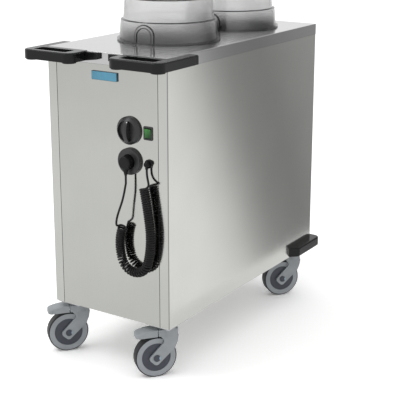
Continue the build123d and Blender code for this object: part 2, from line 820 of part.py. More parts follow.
with BuildPart() as plug:
    with BuildSketch(socket_plane.offset(socket_depth)):
        Circle(plug_radius)
    extrude(amount=plug_reach - socket_depth)
    fillet(plug.faces().sort_by(Axis.Y)[0].edges(), plug_edge)
    with BuildSketch(socket_plane.offset(socket_depth)):
        Circle(plug_radius)
    extrude(amount=-plug_insert)
    stem = Plane(origin=(socket_x, front - plug_stem_reach, socket_z), x_dir=(1, 0, 0), z_dir=(0, 0, -1))
    with BuildSketch(stem):
        Circle(plug_stem_radius)
    extrude(amount=plug_stem_drop - plug_relief)
    with BuildSketch(stem.offset(plug_stem_drop - plug_relief)):
        Circle(plug_stem_radius - plug_relief_step)
    with BuildSketch(stem.offset(plug_stem_drop)):
        Circle(cord_radius + plug_relief_wall)
    loft()
    with BuildSketch(socket_plane.offset(socket_depth - plug_insert)):
        with Locations((-pin_spread, 0), (pin_spread, 0)):
            Circle(pin_radius)
    extrude(amount=-(socket_cup - socket_wall - plug_insert + socket_depth - pin_clearance))
save(plug.part, "plug")

gland_plane = Plane(origin=(gland_x, front, gland_z), x_dir=(1, 0, 0), z_dir=(0, -1, 0))
with BuildPart() as cable_gland:
    with BuildSketch(gland_plane):
        Circle(gland_radius)
    extrude(amount=gland_depth)
    fillet(cable_gland.faces().sort_by(Axis.Y)[0].edges(), gland_edge)
    with BuildSketch(gland_plane):
        Circle(gland_thread)
    extrude(amount=-gland_thread_length)
    with BuildSketch(gland_plane.offset(gland_depth)):
        Circle(gland_boss_radius)
    extrude(amount=gland_reach - gland_depth)
    with Locations((gland_x, front - gland_reach, gland_z)):
        Sphere(gland_boss_radius)
    with Locations((gland_x, front - gland_reach, gland_z)):
        Cylinder(cord_radius + gland_sleeve, gland_drop, align=hanging)
save(cable_gland.part, "cable_gland")


# ---------------------------------------------------------------- cord
def corner_radii(points):
    """Radius of the bend at each inner point of a route, as large as its two runs allow."""
    runs = [b - a for a, b in zip(points, points[1:])]
    radii = []
    for before, after in zip(runs, runs[1:]):
        half_turn = radians(before.get_angle(after)) / 2
        radii.append(0.45 * min(before.length, after.length) / tan(half_turn))
    return radii


def coil_stretches():
    """The arcs of the coil's middle line, each as its start, heading, curvature, length and pitch."""
    x, z = coil_top
    heading = radians(coil_heading)
    stretches = []
    for radius, bend in coil_bends:
        curvature = (1 if bend > 0 else -1) / radius
        length = radius * abs(radians(bend))
        pitch = (cord_diameter + coil_gap) / (1 - coil_radius / radius)
        stretches.append((x, z, heading, curvature, length, pitch))
        x += (cos(heading) - cos(heading + curvature * length)) / curvature
        z -= (sin(heading + curvature * length) - sin(heading)) / curvature
        heading += curvature * length
    return stretches


def coil_point(turns):
    """Place and direction of the wire after a number of turns, which start at the front."""
    angle = 2 * pi * (turns + 0.25)
    left = turns * coil_stretch
    for x, z, heading, curvature, length, pitch in coil_arcs:
        if left <= length / pitch or (x, z) == coil_arcs[-1][:2]:
            break
        left -= length / pitch
    here = heading + curvature * left * pitch
    middle = Vector(x + (cos(heading) - cos(here)) / curvature, coil_y,
                    z - (sin(here) - sin(heading)) / curvature)
    along = Vector(sin(here), 0, -cos(here))
    across = Vector(cos(here), 0, sin(here))
    toward = Vector(0, -1, 0)
    place = middle + (across * cos(angle) + toward * sin(angle)) * coil_radius
    winding = (toward * cos(angle) - across * sin(angle)) * (2 * pi * coil_radius / pitch)
    advance = along * (1 - curvature * coil_radius * cos(angle))
    return place, (winding + advance).normalized()


def biarc_joint(start, start_way, end, end_way):
    """Where two tangent arcs from one place and direction to another meet."""
    span = end - start
    bend = 1 - start_way.dot(end_way)
    lean = span.dot(start_way + end_way)
    reach = (sqrt(lean ** 2 + 4 * bend * span.dot(span) / 2) - lean) / (2 * bend)
    return (start + start_way * reach + end - end_way * reach) / 2


def least_gap(points, per_turn):
    """Smallest clear distance between a point on one turn and the turns after it."""
    nearest = min(
        (a - b).length
        for i, a in enumerate(points)
        for b in points[i + per_turn // 2:i + 3 * per_turn // 2]
    )
    return nearest - cord_diameter


coil_arcs = coil_stretches()
free_turns = sum(length / pitch for *_, length, pitch in coil_arcs)
coil_turns = int(free_turns - 0.75) + 0.75
coil_stretch = free_turns / coil_turns
steps = [half / 2 for half in range(int(2 * coil_turns) + 1)] + [coil_turns]
coil_start, coil_start_way = coil_point(0)
coil_end, coil_end_way = coil_point(coil_turns)
coil_in = coil_start - coil_start_way * cord_diameter
coil_out = coil_end + coil_end_way * cord_diameter

with BuildPart() as cord_coil:
    with BuildLine() as coil_path:
        Line(coil_in, coil_start)
        for before, after in zip(steps, steps[1:]):
            here, way = coil_point(before)
            there, way_there = coil_point(after)
            joint = biarc_joint(here, way, there, way_there)
            first = TangentArc(here, joint, tangent=way)
            TangentArc(joint, there, tangent=first % 1)
        Line(coil_end, coil_out)
    with BuildSketch(Plane(origin=coil_in, z_dir=coil_start_way)):
        Circle(cord_radius)
    sweep()
save(cord_coil.part, "cord_coil")
samples = 48
wire_points = [edge @ (k / (samples / 4)) for edge in coil_path.edges()[1:-1] for k in range(samples // 4)]
section = pi * cord_radius ** 2
coil_wire = coil_path.wire().length
print(f"coil: {coil_turns} turns, wire {coil_wire:.0f} mm, "
      f"least gap {least_gap(wire_points, samples):.2f} mm, "
      f"volume ratio {cord_coil.part.volume / section / coil_wire:.4f}")

gland_exit = Vector(gland_x, front - gland_reach, gland_z - gland_drop)
stem_exit = Vector(socket_x, front - plug_stem_reach, socket_z - plug_stem_drop)
tails = {
    "cord_tail_gland": [gland_exit, *gland_tail, coil_in - coil_start_way * coil_lead, coil_in],
    "cord_tail_plug": [coil_out, coil_out + coil_end_way * coil_lead, *plug_tail, stem_exit],
}
for name, route in tails.items():
    points = [p if isinstance(p, Vector) else Vector(p[0], front - p[1], p[2]) for p in route]
    radii = corner_radii(points)
    with BuildPart() as cord_tail:
        with BuildLine() as tail_path:
            FilletPolyline(*points, radius=radii)
        with BuildSketch(Plane(origin=points[0], z_dir=points[1] - points[0])):
            Circle(cord_radius)
        sweep()
    save(cord_tail.part, name)
    tail_length = tail_path.wire().length
    print(f"{name}: {tail_length:.0f} mm, radii {[round(r, 1) for r in radii]}, "
          f"volume ratio {cord_tail.part.volume / section / tail_length:.4f}")


# ---------------------------------------------------------------- castors
with BuildPart() as caster_plates:
    for x, y in swivels.values():
        with BuildSketch(Plane(origin=(x, y, mount_under))):
            RectangleRounded(plate_breadth, plate_length, plate_corner)
            with GridLocations(bolt_spacing_short, bolt_spacing_long, 2, 2):
                Circle(bolt_radius, mode=Mode.SUBTRACT)
        extrude(amount=plate_sheet)
        with Locations((x, y, mount_under)):
            Cylinder(race_radius, mount_under - fork_crown_top - race_gap,
                     align=hanging)
            Cylinder(kingpin_radius, mount_under - kingpin_end, align=hanging)
save(caster_plates.part, "caster_plates")

with BuildPart() as caster_bolts:
    for x, y in swivels.values():
        with Locations((x, y, mount_under)):
            with GridLocations(bolt_spacing_short, bolt_spacing_long, 2, 2):
                Cylinder(bolt_radius, plate_sheet + pan_sheet, align=standing)
        with BuildSketch(Plane(origin=(x, y, mount_under))):
            with GridLocations(bolt_spacing_short, bolt_spacing_long, 2, 2):
                RegularPolygon(bolt_head_radius, 6)
        extrude(amount=-bolt_head_height)
save(caster_bolts.part, "caster_bolts")


def across(offset):
    """The plane of a fork's side view at a distance across the wheel: X along the trail, Y up."""
    return Plane(origin=(0, offset, 0), x_dir=(1, 0, 0), z_dir=(0, -1, 0))


def fork_solid(with_cheeks):
    """A fork about its swivel axis, its trail along X; one with cheeks carries a brake pedal."""
    with BuildPart() as fork:
        for hand in (-1, 1):
            with BuildSketch(across(hand * (fork_inner + fork_arm / 2))):
                with BuildLine():
                    Polyline(*fork_arm_low, *fork_arm_high, (-fork_crown_radius, fork_crown_bottom),
                             (fork_crown_radius, fork_crown_bottom), *fork_arm_notch, close=True)
                make_face()
            extrude(amount=fork_arm / 2, both=True)
        arm_ends = fork.edges().filter_by(Axis.Y).filter_by(lambda e: e.center().X > fork_arm_low[1][0] - 1)
        fillet(arm_ends, fork_arm_corner)
        with BuildSketch(Plane.XY.offset(fork_crown_bottom)):
            RectangleRounded(2 * fork_crown_radius, 2 * fork_outer, fork_bridge_corner)
        extrude(amount=fork_bridge_top - fork_crown_bottom)
        with Locations((0, 0, fork_crown_bottom)):
            Cylinder(fork_crown_radius, fork_crown_top - fork_crown_bottom,
                     align=standing)
            Cylinder(kingpin_radius + kingpin_fit, fork_crown_top - fork_crown_bottom,
                     align=standing, mode=Mode.SUBTRACT)
        with BuildSketch(across(0)):
            with Locations((swivel_trail, wheel_radius)):
                Circle(axle_radius)
        extrude(amount=fork_outer, both=True, mode=Mode.SUBTRACT)
        if with_cheeks:
            with BuildSketch(across(0)):
                with Locations((pedal_pivot, pedal_pivot_z)):
                    Circle(pedal_barrel_radius + pedal_clearance + pedal_fit)
            extrude(amount=cheek_inner, both=True, mode=Mode.SUBTRACT)
            for hand in (-1, 1):
                with BuildSketch(across(hand * (cheek_inner + fork_outer) / 2)):
                    with BuildLine():
                        Polyline((0, fork_crown_bottom), (cheek_end - cheek_slope, fork_crown_bottom),
                                 (cheek_end, fork_bridge_top), (0, fork_bridge_top), close=True)
                    make_face()
                extrude(amount=(fork_outer - cheek_inner) / 2, both=True)
            with BuildSketch(across(0)):
                with Locations((pedal_pivot, pedal_pivot_z)):
                    Circle(pedal_pin_radius + pedal_fit)
            extrude(amount=fork_outer, both=True, mode=Mode.SUBTRACT)
    return fork.part


with BuildPart() as wheel:
    with BuildSketch(Plane.XZ):
        with BuildLine():
            half = wheel_width / 2
            tread = wheel_radius - tyre_thickness
            flange = wheel_radius - rim_face
            recess = half - web_recess
            dish = guard_radius + guard_gap
            Polyline((0, 0), (recess, 0), (recess, dish), (half, dish), (half, flange),
                     (half - rim_edge, flange), (half - rim_edge, tread), (0, tread), close=True)
        make_face()
    revolve(axis=Axis.X)
    mirror(about=Plane.YZ)
    with Locations((0, 0, 0)):
        Cylinder(axle_radius + axle_fit, wheel_width, rotation=(0, 90, 0), mode=Mode.SUBTRACT)

with BuildPart() as tyre:
    with BuildSketch(Plane.XZ):
        with BuildLine():
            Polyline((0, tread), (half - rim_edge, tread), (half - rim_edge, flange), (half, flange),
                     (half, wheel_radius), (0, wheel_radius), close=True)
        make_face()
    revolve(axis=Axis.X)
    outer_edge = tyre.edges().filter_by(GeomType.CIRCLE).group_by(Axis.X)[-1].sort_by(SortBy.RADIUS)[-1]
    fillet(outer_edge, tyre_shoulder)
    mirror(about=Plane.YZ)

with BuildPart() as axle:
    Cylinder(axle_radius, 2 * fork_outer, rotation=(0, 90, 0))
    for hand in (-1, 1):
        with Locations((hand * (wheel_width / 2 - web_recess + guard_gap), 0, 0)):
            Cylinder(guard_radius, guard_thickness, rotation=(0, 90 * hand, 0),
                     align=standing)
            Cylinder(cap_radius, fork_inner - wheel_width / 2 + web_recess - guard_gap,
                     rotation=(0, 90 * hand, 0), align=standing)
        with Locations((hand * fork_outer, 0, 0)):
            Cylinder(cap_radius, cap_height, rotation=(0, 90 * hand, 0),
                     align=standing)

with BuildPart() as brake_pedal:
    with BuildSketch(Plane.XY.offset(pedal_bottom)):
        with Locations(((pedal_heel + pedal_reach) / 2, 0)):
            Rectangle(pedal_reach - pedal_heel, 2 * pedal_half_width)
    extrude(amount=pedal_top - pedal_bottom)
    fillet(brake_pedal.edges().filter_by(Axis.Z).group_by(Axis.X)[-1], pedal_corner)
    with BuildSketch(across(0)):
        with BuildLine():
            Polyline((pedal_reach, pedal_tip_top), (pedal_reach, pedal_bottom), (pedal_heel, pedal_bottom),
                     (pedal_heel, pedal_top))
            ThreePointArc((pedal_heel, pedal_top),
                          ((pedal_heel + pedal_reach) / 2, (pedal_top + pedal_tip_top) / 2 + pedal_crown),
                          (pedal_reach, pedal_tip_top))
        make_face()
    extrude(amount=pedal_half_width, both=True, mode=Mode.INTERSECT)
    crown_face = brake_pedal.faces().filter_by(GeomType.CYLINDER).sort_by(Axis.Z)[-1]
    fillet(crown_face.edges().filter_by(lambda e: e.center().X > pedal_heel + 1), pedal_edge)
    with Locations((pedal_pivot, 0, pedal_pivot_z)):
        Box(pedal_heel - pedal_pivot, 2 * pedal_barrel_half, pedal_neck,
            align=(Align.MIN, Align.CENTER, Align.CENTER))
    with BuildSketch(across(0)):
        with Locations((pedal_pivot, pedal_pivot_z)):
            Circle(pedal_barrel_radius)
    extrude(amount=pedal_barrel_half, both=True)
    with BuildSketch(across(0)):
        with Locations((pedal_pivot, pedal_pivot_z)):
            Circle(pedal_pin_radius)
    extrude(amount=fork_outer, both=True)

forks = {"front": fork_solid(True), "rear": fork_solid(False)}
for name, (x, y) in swivels.items():
    trail_turn = -90 - swivel_angle
    swivel_place = Location((x, y, 0), (0, 0, trail_turn))
    hub_place = swivel_place * Location((swivel_trail, 0, wheel_radius), (0, 0, 90))
    save(forks[name.split("_")[0]].moved(swivel_place), f"fork_{name}")
    save(wheel.part.moved(hub_place), f"wheel_{name}")
    save(tyre.part.moved(hub_place), f"tyre_{name}")
    save(axle.part.moved(hub_place), f"axle_{name}")
    if name.startswith("front"):
        save(brake_pedal.part.moved(swivel_place), f"brake_pedal_{name.split('_')[1]}")
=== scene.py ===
"""Looks of the plate dispenser cart: materials, cord, small marks, studio and camera.

Metres and degrees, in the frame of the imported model: +Z up, control end towards -Y.
"""
from math import cos, pi, radians, sin

import bpy
from mathutils import Matrix, Vector


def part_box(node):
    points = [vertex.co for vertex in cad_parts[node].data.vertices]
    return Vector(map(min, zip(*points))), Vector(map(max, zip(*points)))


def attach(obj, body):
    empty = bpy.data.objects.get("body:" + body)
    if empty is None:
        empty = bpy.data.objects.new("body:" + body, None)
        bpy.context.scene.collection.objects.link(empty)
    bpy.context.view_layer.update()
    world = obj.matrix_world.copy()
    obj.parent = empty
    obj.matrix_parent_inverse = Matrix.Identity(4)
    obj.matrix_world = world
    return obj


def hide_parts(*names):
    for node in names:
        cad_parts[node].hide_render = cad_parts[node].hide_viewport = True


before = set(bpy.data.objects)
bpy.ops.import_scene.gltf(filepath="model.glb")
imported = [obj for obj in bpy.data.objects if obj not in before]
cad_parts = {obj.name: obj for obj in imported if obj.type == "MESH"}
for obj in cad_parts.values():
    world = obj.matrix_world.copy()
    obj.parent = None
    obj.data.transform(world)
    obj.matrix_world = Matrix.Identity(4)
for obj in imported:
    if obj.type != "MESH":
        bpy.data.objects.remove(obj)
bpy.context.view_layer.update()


def add_object(name, data):
    """A new object in the scene."""
    thing = bpy.data.objects.new(name, data)
    bpy.context.scene.collection.objects.link(thing)
    return thing


# ---------------------------------------------------------------- camera
# The best fit to the photograph's view with a small shift. The photograph's own shift is much larger
# and keeps uprights parallel, so here they converge slightly.
IMAGE_SIZE = 400
FOCAL_PIXELS = 1051.3
CENTRE_PIXELS = (204.3, 160.0)
CAMERA_PLACE = (1.7985, -2.6974, 1.4056)
CAMERA_AZIMUTH = 32.76
CAMERA_PITCH = 14.79
CAMERA_ROLL = 0.105
SENSOR = 36.0


def make_camera():
    """The camera, from its place, its angles and the lens in pixels of the photograph."""
    data = bpy.data.cameras.new("camera")
    data.sensor_width = SENSOR
    data.lens = FOCAL_PIXELS / IMAGE_SIZE * SENSOR
    data.shift_x = (IMAGE_SIZE / 2 - CENTRE_PIXELS[0]) / IMAGE_SIZE
    data.shift_y = (CENTRE_PIXELS[1] - IMAGE_SIZE / 2) / IMAGE_SIZE
    camera = add_object("camera", data)
    turn = radians(CAMERA_AZIMUTH)
    pitch = radians(CAMERA_PITCH)
    ahead = Vector((-sin(turn) * cos(pitch), cos(turn) * cos(pitch), -sin(pitch)))
    right = ahead.cross(Vector((0, 0, 1))).normalized()
    above = right.cross(ahead)
    axes = Matrix((right, above, -ahead)).transposed() @ Matrix.Rotation(radians(CAMERA_ROLL), 3, "Z")
    camera.matrix_world = Matrix.Translation(CAMERA_PLACE) @ axes.to_4x4()
    bpy.context.scene.camera = camera


# ---------------------------------------------------------------- cord
FRONT = -0.412
CORD_DIAMETER = 0.0058
COIL_DIAMETER = 0.0275
COIL_GAP = 0.00058
COIL_STAND_OFF = 0.022
COIL_TOP = (0.143, 0.5835)
COIL_HEADING = 12.0
# Each arc of the coil's middle line, from the gland's end: its radius and how far it turns.
COIL_BENDS = ((1.3805, -4.5), (0.278, -23.5), (0.047, -146.0), (0.14, -40.0))
COIL_LEAD = 0.0115
FIRST_TURN_PART = 0.25
LAST_TURN_PART = 0.75
POINTS_PER_TURN = 16
WAY_STEP = 0.001
# The tube comes out thinner than its bevel is set, so the setting is a little over the cord's diameter.
TUBE_FACTOR = 1.07
# The object's box counts a spline point's radius, so it is small, and the bevel's depth makes up for it.
POINT_RADIUS = 0.001
GLAND_EXIT = (0.1455, FRONT - 0.011, 0.6375)
STEM_EXIT = (0.0815, FRONT - 0.023, 0.6135)
GLAND_TAIL = (
    (0.1455, FRONT - 0.0110, 0.6260),
    (0.1475, FRONT - 0.0115, 0.6140),
    (0.1525, FRONT - 0.0145, 0.6030),
    (0.1595, FRONT - 0.0210, 0.5935),
)
PLUG_TAIL = (
    (0.0585, FRONT - 0.0405, 0.4800),
    (0.0615, FRONT - 0.0380, 0.4970),
    (0.0670, FRONT - 0.0340, 0.5170),
    (0.0735, FRONT - 0.0300, 0.5390),
    (0.0785, FRONT - 0.0270, 0.5640),
    (0.0815, FRONT - 0.0230, 0.5900),
)


def coil_stretches(radius):
    """The arcs of the coil's middle line, each as its start, heading, curvature, length and pitch."""
    x, z = COIL_TOP
    heading = radians(COIL_HEADING)
    stretches = []
    for bend_radius, bend in COIL_BENDS:
        curvature = (1 if bend > 0 else -1) / bend_radius
        length = bend_radius * abs(radians(bend))
        pitch = (CORD_DIAMETER + COIL_GAP) / (1 - radius / bend_radius)
        stretches.append((x, z, heading, curvature, length, pitch))
        x += (cos(heading) - cos(heading + curvature * length)) / curvature
        z -= (sin(heading + curvature * length) - sin(heading)) / curvature
        heading += curvature * length
    return stretches


def coil_point(turns, stretches, stretch, radius):
    """Place of the wire after a number of turns, which start at the front of the coil."""
    left = turns * stretch
    for x, z, heading, curvature, length, pitch in stretches:
        if left <= length / pitch or (x, z) == stretches[-1][:2]:
            break
        left -= length / pitch
    here = heading + curvature * left * pitch
    middle = Vector((x + (cos(heading) - cos(here)) / curvature, FRONT - COIL_STAND_OFF,
                     z - (sin(here) - sin(heading)) / curvature))
    across = Vector((cos(here), 0, sin(here)))
    toward = Vector((0, -1, 0))
    angle = 2 * pi * (turns + FIRST_TURN_PART)
    return middle + (across * cos(angle) + toward * sin(angle)) * radius


def cord_route():
    """Points of the whole cord: down from the gland, round the coil's helix, up to the plug."""
    radius = (COIL_DIAMETER - CORD_DIAMETER) / 2
    stretches = coil_stretches(radius)
    free_turns = sum(length / pitch for *_, length, pitch in stretches)
    turns = int(free_turns - LAST_TURN_PART) + LAST_TURN_PART
    stretch = free_turns / turns
    steps = int(turns * POINTS_PER_TURN)
    outer = radius / cos(pi / POINTS_PER_TURN)
    helix = [coil_point(k / POINTS_PER_TURN, stretches, stretch, outer) for k in range(1, steps)]
    start = coil_point(0, stretches, stretch, radius)
    end = coil_point(turns, stretches, stretch, radius)
    start_way = (coil_point(WAY_STEP, stretches, stretch, radius) - start).normalized()
    end_way = (end - coil_point(turns - WAY_STEP, stretches, stretch, radius)).normalized()
    lead_in = start - start_way * (CORD_DIAMETER + COIL_LEAD)
    lead_out = end + end_way * (CORD_DIAMETER + COIL_LEAD)
    return [GLAND_EXIT, *GLAND_TAIL, lead_in, start, *helix, end, lead_out, *PLUG_TAIL, STEM_EXIT]


def make_cord():
    """The curly mains cord as one smooth tube."""
    route = cord_route()
    curve = bpy.data.curves.new("mains_cord", "CURVE")
    curve.dimensions = "3D"
    curve.bevel_depth = CORD_DIAMETER * TUBE_FACTOR / 2 / POINT_RADIUS
    curve.bevel_resolution = 3
    curve.resolution_u = 2
    spline = curve.splines.new("NURBS")
    spline.points.add(len(route) - 1)
    for point, place in zip(spline.points, route):
        point.co = (*place, 1)
        point.radius = POINT_RADIUS
    spline.order_u = 3
    spline.use_endpoint_u = True
    cord = add_object("mains_cord", curve)
    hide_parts("cord_tail_gland", "cord_coil", "cord_tail_plug")
    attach(cord, "cart")
    return cord


# ---------------------------------------------------------------- shader nodes
CLOUD_RANGE = (0.3, 0.7)


def new_material(name):
    """An empty node material and its shader, node maker and link maker."""
    material = bpy.data.materials.new(name)
    material.use_nodes = True
    tree = material.node_tree
    shader = tree.nodes["Principled BSDF"]
    return material, shader, tree.nodes.new, tree.links.new


def own_coords(new):
    """Coordinates of the piece itself."""
    return new("ShaderNodeTexCoord").outputs["Object"]


def calculate(new, link, operation, *values, clamp=False):
    """One step of arithmetic on outputs and numbers."""
    node = new("ShaderNodeMath")
    node.operation = operation
    node.use_clamp = clamp
    for socket, value in zip(node.inputs, values):
        if isinstance(value, (int, float)):
            socket.default_value = value
        else:
            link(value, socket)
    return node.outputs[0]


def vector(new, link, operation, *values):
    """One step of vector arithmetic on outputs and triples."""
    node = new("ShaderNodeVectorMath")
    node.operation = operation
    for socket, value in zip(node.inputs, values):
        if isinstance(value, tuple):
            socket.default_value = value
        else:
            link(value, socket)
    return node.outputs["Value" if operation in ("DOT_PRODUCT", "LENGTH") else "Vector"]


def part_of(new, link, value, axis):
    """One part of a vector output."""
    apart = new("ShaderNodeSeparateXYZ")
    link(value, apart.inputs["Vector"])
    return apart.outputs[axis]


def part_of_normal(new, link, axis):
    """How far a surface faces along an axis, from 0 to 1."""
    normal = new("ShaderNodeNewGeometry").outputs["True Normal"]
    return calculate(new, link, "ABSOLUTE", part_of(new, link, normal, axis))


def noise(new, link, coords, scale, detail=2, stretch=(1, 1, 1)):
    """Noise over the given coordinates, drawn out along the axes with small stretch values."""
    mapping = new("ShaderNodeMapping")
    mapping.inputs["Scale"].default_value = stretch
    link(coords, mapping.inputs["Vector"])
    texture = new("ShaderNodeTexNoise")
    texture.inputs["Scale"].default_value = scale
    texture.inputs["Detail"].default_value = detail
    link(mapping.outputs["Vector"], texture.inputs["Vector"])
    return texture.outputs["Fac"]


def ramp(new, link, value, low, high, colours):
    """Colours spread over a value's range."""
    node = new("ShaderNodeValToRGB")
    node.color_ramp.elements[0].position = low
    node.color_ramp.elements[1].position = high
    for element, colour in zip(node.color_ramp.elements, colours):
        element.color = (*colour, 1)
    link(value, node.inputs["Fac"])
    return node.outputs["Color"]


def tones(colour, lower, upper=1.0):
    """A colour at two strengths, given as parts of its own."""
    return [c * lower for c in colour], [min(1, c * upper) for c in colour]


def cloudy(new, link, clouds, *colours):
    """A colour that drifts between two tones."""
    return ramp(new, link, clouds, *CLOUD_RANGE, colours)


def spread(new, link, value, low, high, start=0.0, end=1.0, smooth=False):
    """A value that runs from start to end, spread between two numbers."""
    node = new("ShaderNodeMapRange")
    node.interpolation_type = "SMOOTHSTEP" if smooth else "LINEAR"
    for socket, number in (("From Min", start), ("From Max", end), ("To Min", low), ("To Max", high)):
        node.inputs[socket].default_value = number
    link(value, node.inputs["Value"])
    return node.outputs["Result"]


def vary(new, link, value, middle, part):
    """A number that varies by a part of itself, each way."""
    return spread(new, link, value, middle * (1 - part), middle * (1 + part))


def bump(new, link, shader, height, strength, distance):
    """Small relief in the surface."""
    node = new("ShaderNodeBump")
    node.inputs["Strength"].default_value = strength
    node.inputs["Distance"].default_value = distance
    link(height, node.inputs["Height"])
    link(node.outputs["Normal"], shader.inputs["Normal"])


def blend(new, link, factor, first, second, mode="MIX"):
    """Two colours or colour outputs mixed by a number or an output."""
    node = new("ShaderNodeMixRGB")
    node.blend_type = mode
    if isinstance(factor, float):
        node.inputs["Fac"].default_value = factor
    else:
        link(factor, node.inputs["Fac"])
    for socket, colour in zip(("Color1", "Color2"), (first, second)):
        if isinstance(colour, tuple):
            node.inputs[socket].default_value = (*colour, 1)
        else:
            link(colour, node.inputs[socket])
    return node.outputs["Color"]


def within(new, link, value, middle, half, soft):
    """1 where a value lies within a distance of a middle, falling to 0 over a soft edge."""
    off = calculate(new, link, "ABSOLUTE", calculate(new, link, "SUBTRACT", value, middle))
    inside = calculate(new, link, "SUBTRACT", half + soft, off)
    return calculate(new, link, "DIVIDE", inside, soft, clamp=True)


# ---------------------------------------------------------------- materials
UPRIGHT = (1, 1, 0.02)
LENGTHWISE = (1, 0.02, 1)
EVEN = (1, 1, 1)
BEND_SHADE_SHARPNESS = 2.2
STREAK_RANGE = (0.25, 0.75)
STREAK_TONES = ((0.97, 0.97, 0.97), (1, 1, 1))
FACE_LIMIT = 0.95
LENS_PAINTED_LIGHT_RANGE = (0.25, 0.8)
CAP_RADIUS = 0.0108
ACRYLIC_IOR = 1.49
DOME_MIRROR = 0.12
FOOT_SHADE = 0.38
# The domes' mouldings: heights over the foot, and half widths and soft borders of the painted shade lines.
DOME_STEP = 0.066
DOME_SHOULDER = 0.128
SHOULDER_HALF = 0.0012
SHOULDER_SOFT = 0.0015
LEDGE_LIMIT = 0.95
LEDGE_SOFT = 0.25
TAB_AZIMUTH = 5.0
TAB_ARCH = 0.024
TAB_RIDGE_LINE = 0.0285
TAB_RIDGE_HALF = 0.0045
RIDGE_EDGE_HALF = 0.0008
RIDGE_EDGE_SOFT = 0.0012


def brushed(name, colour, roughness, grain, variation=0.05, painted_side_shading=None, painted_bend_shade=None):
    """Ground sheet steel: fine lines along the axis where the grain is smallest.

    Faces towards X may carry painted light or shade of their own, and the bent corners between the X and Y
    faces a painted dark reflection.
    """
    material, shader, new, link = new_material(name)
    coords = own_coords(new)
    lines = noise(new, link, coords, scale=700, stretch=grain)
    clouds = noise(new, link, coords, scale=5)
    # Faces towards X take their painted light or shade, the bent corners their painted dark reflection.
    across = part_of_normal(new, link, "X")
    tone = blend(new, link, across, colour, painted_side_shading or colour)
    if painted_bend_shade:
        both = calculate(new, link, "MULTIPLY", across, part_of_normal(new, link, "Y"))
        bend_shade_mask = calculate(new, link, "MULTIPLY", both, BEND_SHADE_SHARPNESS, clamp=True)
        tone = blend(new, link, bend_shade_mask, tone, painted_bend_shade)
    dull = cloudy(new, link, clouds, (1 - variation,) * 3, (1,) * 3)
    streaks = ramp(new, link, lines, *STREAK_RANGE, STREAK_TONES)
    for shade in (dull, streaks):
        tone = blend(new, link, 1.0, tone, shade, "MULTIPLY")
    link(tone, shader.inputs["Base Color"])
    link(vary(new, link, lines, roughness, part=0.2), shader.inputs["Roughness"])
    bump(new, link, shader, lines, strength=0.06, distance=0.0004)
    shader.inputs["Metallic"].default_value = 1.0
    return material


def plastic(name, colour, roughness, grain_scale=900, relief=0.15, variation=0.12, gloss=0.5):
    """Moulded plastic or rubber with a fine grain."""
    material, shader, new, link = new_material(name)
    coords = own_coords(new)
    grain = noise(new, link, coords, scale=grain_scale)
    clouds = noise(new, link, coords, scale=14, detail=3)
    tone = cloudy(new, link, clouds, *tones(colour, 1 - variation, 1 + variation))
    link(tone, shader.inputs["Base Color"])
    link(vary(new, link, clouds, roughness, part=0.15), shader.inputs["Roughness"])
    bump(new, link, shader, grain, strength=relief, distance=0.0003)
    shader.inputs["Specular IOR Level"].default_value = gloss
    return material


def shade_edged_plate(name, face, edge, roughness):
    """A plate whose bevelled rims are painted darker than its face, as painted shade."""
    material, shader, new, link = new_material(name)
    coords = own_coords(new)
    clouds = noise(new, link, coords, scale=60)
    flat = calculate(new, link, "GREATER_THAN", part_of_normal(new, link, "Y"), FACE_LIMIT)
    painted = cloudy(new, link, clouds, *tones(face, 0.9))
    # The rims take the darker colour as painted shade.
    link(blend(new, link, flat, edge, painted), shader.inputs["Base Color"])
    link(vary(new, link, clouds, roughness, part=0.1), shader.inputs["Roughness"])
    bump(new, link, shader, noise(new, link, coords, scale=500), strength=0.03, distance=0.0002)
    return material


def lens(name, light, dark):
    """Coloured rocker plastic, painted lighter towards its upper left as painted light."""
    material, shader, new, link = new_material(name)
    coords = own_coords(new)
    low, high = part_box("rocker")
    # Painted light, rising towards the upper left.
    slope = calculate(new, link, "SUBTRACT", part_of(new, link, coords, "Z"), part_of(new, link, coords, "X"))
    place = spread(new, link, slope, 0.0, 1.0, start=low[2] - high[0], end=high[2] - low[0])
    link(ramp(new, link, place, *LENS_PAINTED_LIGHT_RANGE, (dark, light)), shader.inputs["Base Color"])
    grain = noise(new, link, coords, scale=400)
    link(spread(new, link, grain, low=0.2, high=0.3), shader.inputs["Roughness"])
    shader.inputs["Specular IOR Level"].default_value = 0.35
    return material


